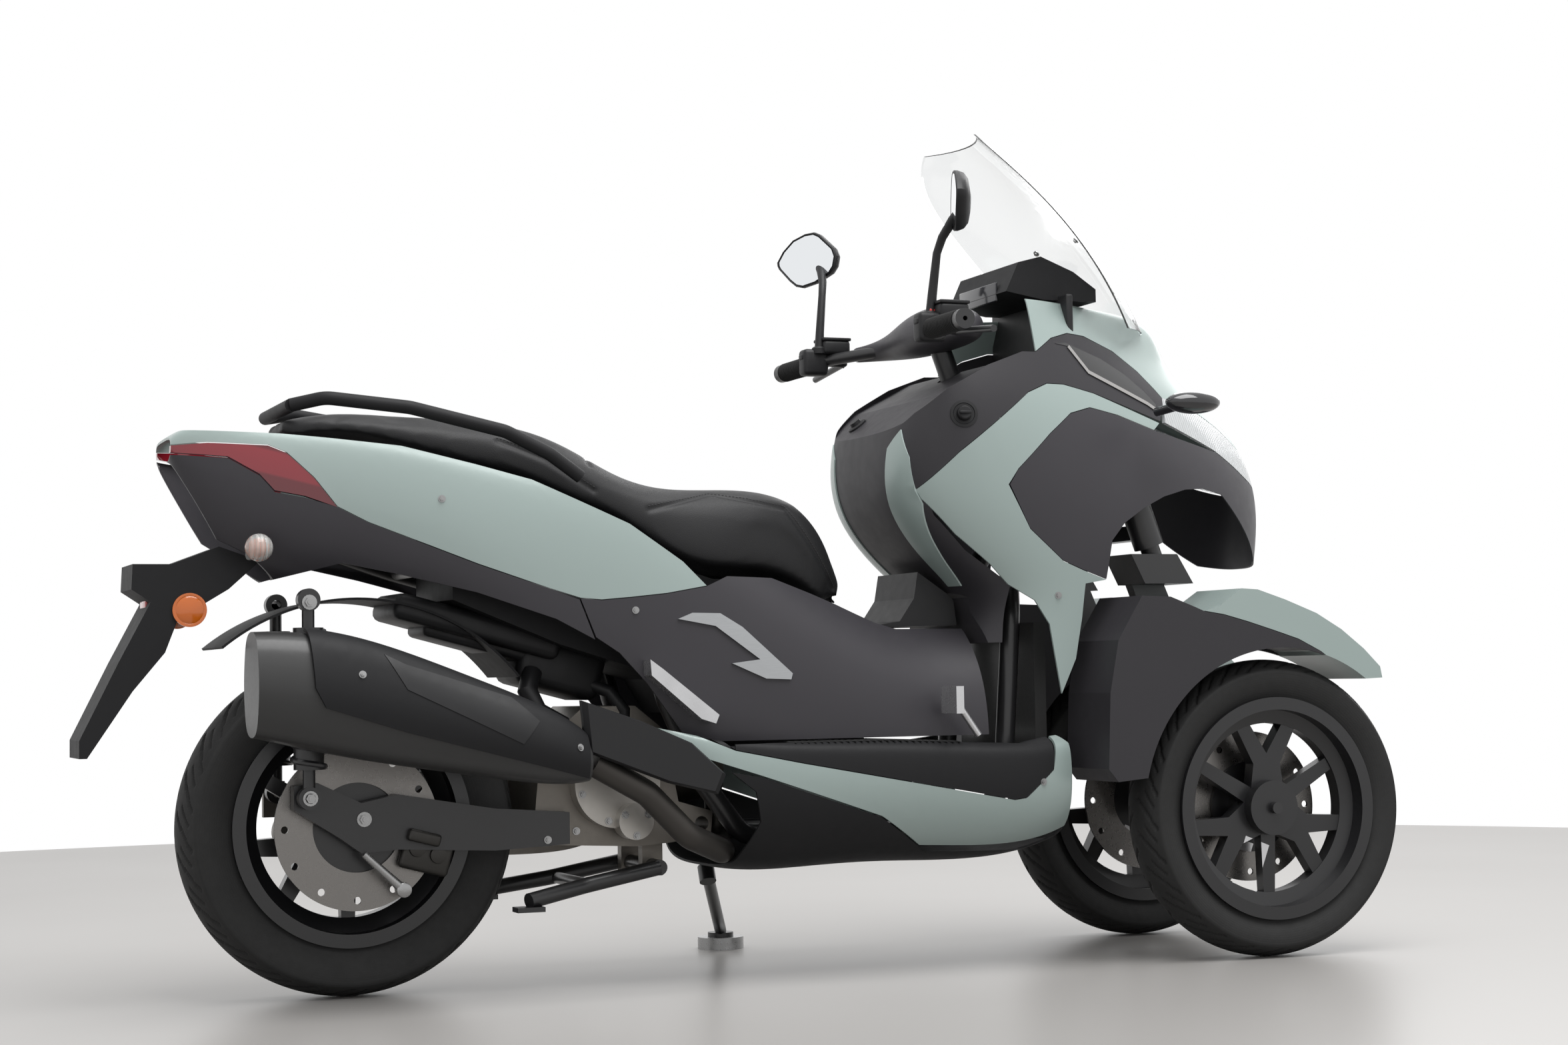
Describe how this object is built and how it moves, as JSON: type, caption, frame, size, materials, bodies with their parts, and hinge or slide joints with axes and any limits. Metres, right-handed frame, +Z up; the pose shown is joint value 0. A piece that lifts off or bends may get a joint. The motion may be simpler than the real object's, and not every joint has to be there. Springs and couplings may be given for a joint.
{
  "type": "tilting three-wheeled scooter",
  "caption": "Step-through scooter with two steered front wheels, one rear wheel, windscreen, long seat, side stand and centre stand.",
  "frame": {"origin": "on the ground under the middle of the whole machine", "axes": "+X forward, +Y to the rider's left, +Z up"},
  "size_m": [2.2887, 0.8414, 1.466],
  "materials": {
    "tyre": "matt rubber with grooves",
    "black_rim": "satin black cast wheel",
    "brake_disc": "ground steel",
    "painted_panel": "satin pale grey-green paint",
    "dark_panel": "matt dark grey paint",
    "black_plastic": "grained black moulding",
    "gloss_black": "polished black moulding",
    "silver_trim": "satin silver trim",
    "red_lens": "clear red lens",
    "clear_lens": "clear moulded lens",
    "screen": "clear polycarbonate",
    "seat_cover": "grained black seat cover",
    "black_steel": "satin black painted steel",
    "engine_alloy": "sand-cast alloy",
    "silver_paint": "silver painted alloy",
    "exhaust_steel": "brushed stainless steel",
    "polished_alloy": "polished alloy",
    "mirror_shell": "black moulding",
    "bare_steel": "turned steel",
    "radiator_core": "black finned core"
  },
  "bodies": {
    "chassis": {"frame": "black_steel", "engine_block": "engine_alloy", "engine_cover": "silver_paint", "drive_case": "engine_alloy", "rear_arm": "black_steel", "exhaust_pipe": "exhaust_steel", "muffler": "exhaust_steel", "muffler_shield": "black_plastic", "rear_shocks": "black_steel", "rear_inner_fender": "black_plastic", "tail_covers": "painted_panel", "tail_lower_cover": "black_plastic", "tail_lamp": "red_lens", "licence_holder": "black_plastic", "rear_signals": "clear_lens", "grab_rails": "black_steel", "storage_tub": "black_plastic", "side_covers": "dark_panel", "side_trims": "silver_trim", "centre_tunnel": "gloss_black", "footboards": "black_plastic", "side_skirts": "painted_panel", "belly_pan": "black_plastic", "leg_shield": "dark_panel", "front_side_panels": "painted_panel", "wheel_arch_panels": "dark_panel", "nose_cowl": "painted_panel", "headlamps": "clear_lens", "upper_panels": "dark_panel", "windscreen": "screen", "dash": "black_plastic", "radiator": "radiator_core", "tilt_arms": "black_steel", "front_signals": "clear_lens", "brake_pedal": "polished_alloy", "stand_puck": "bare_steel", "passenger_pegs": "polished_alloy"},
    "seat_lid": {"seat": "seat_cover"},
    "side_stand": {"side_stand": "black_steel"},
    "centre_stand": {"centre_stand": "black_steel"},
    "handlebar": {"handlebar": "black_steel", "handlebar_cover": "dark_panel", "mirrors": "mirror_shell"},
    "knuckle_left": {"fork_left": "black_steel", "fender_left": "dark_panel", "fender_cap_left": "painted_panel"},
    "knuckle_right": {"fork_right": "black_steel", "fender_right": "dark_panel", "fender_cap_right": "painted_panel"},
    "rear_wheel": {"rear_tyre": "tyre", "rear_rim": "black_rim", "rear_brake_disc": "brake_disc"},
    "front_wheel_left": {"front_tyre_left": "tyre", "front_rim_left": "black_rim", "front_brake_disc_left": "brake_disc"},
    "front_wheel_right": {"front_tyre_right": "tyre", "front_rim_right": "black_rim", "front_brake_disc_right": "brake_disc"}
  },
  "joints": [
    {"name": "rear_wheel_spin", "type": "hinge", "parent": "chassis", "child": "rear_wheel", "pos_m": [-0.7124, 0, 0.2758], "axis": [0, 1, 0], "continuous": true},
    {"name": "handlebar_turn", "type": "hinge", "parent": "chassis", "child": "handlebar", "pos_m": [0.3776, 0, 1.09], "axis": [-0.3502, 0, 0.9367], "range_deg": [-35, 35]},
    {"name": "steer_left", "type": "hinge", "parent": "chassis", "child": "knuckle_left", "pos_m": [0.69976, 0.188, 0.7], "axis": [-0.3502, 0, 0.9367], "range_deg": [-35, 35]},
    {"name": "steer_right", "type": "hinge", "parent": "chassis", "child": "knuckle_right", "pos_m": [0.69976, -0.188, 0.7], "axis": [-0.3502, 0, 0.9367], "range_deg": [-35, 35]},
    {"name": "front_left_spin", "type": "hinge", "parent": "knuckle_left", "child": "front_wheel_left", "pos_m": [0.8826, 0.235, 0.2618], "axis": [0, 1, 0], "continuous": true},
    {"name": "front_right_spin", "type": "hinge", "parent": "knuckle_right", "child": "front_wheel_right", "pos_m": [0.8826, -0.235, 0.2618], "axis": [0, 1, 0], "continuous": true},
    {"name": "seat_hinge", "type": "hinge", "parent": "chassis", "child": "seat_lid", "pos_m": [0.1536, 0, 0.622], "axis": [0, 1, 0], "range_deg": [0, 45]},
    {"name": "side_stand_hinge", "type": "hinge", "parent": "chassis", "child": "side_stand", "pos_m": [-0.0324, 0.152, 0.168], "axis": [0.0443, 0.4919, 0.8695], "range_deg": [0, 97.9]},
    {"name": "centre_stand_hinge", "type": "hinge", "parent": "chassis", "child": "centre_stand", "pos_m": [-0.2074, 0, 0.192], "axis": [0, 1, 0], "range_deg": [-100, 0]}
  ],
  "couplings": [
    {"joint": "steer_left", "follows": "handlebar_turn", "ratio": 1},
    {"joint": "steer_right", "follows": "handlebar_turn", "ratio": 1}
  ]
}
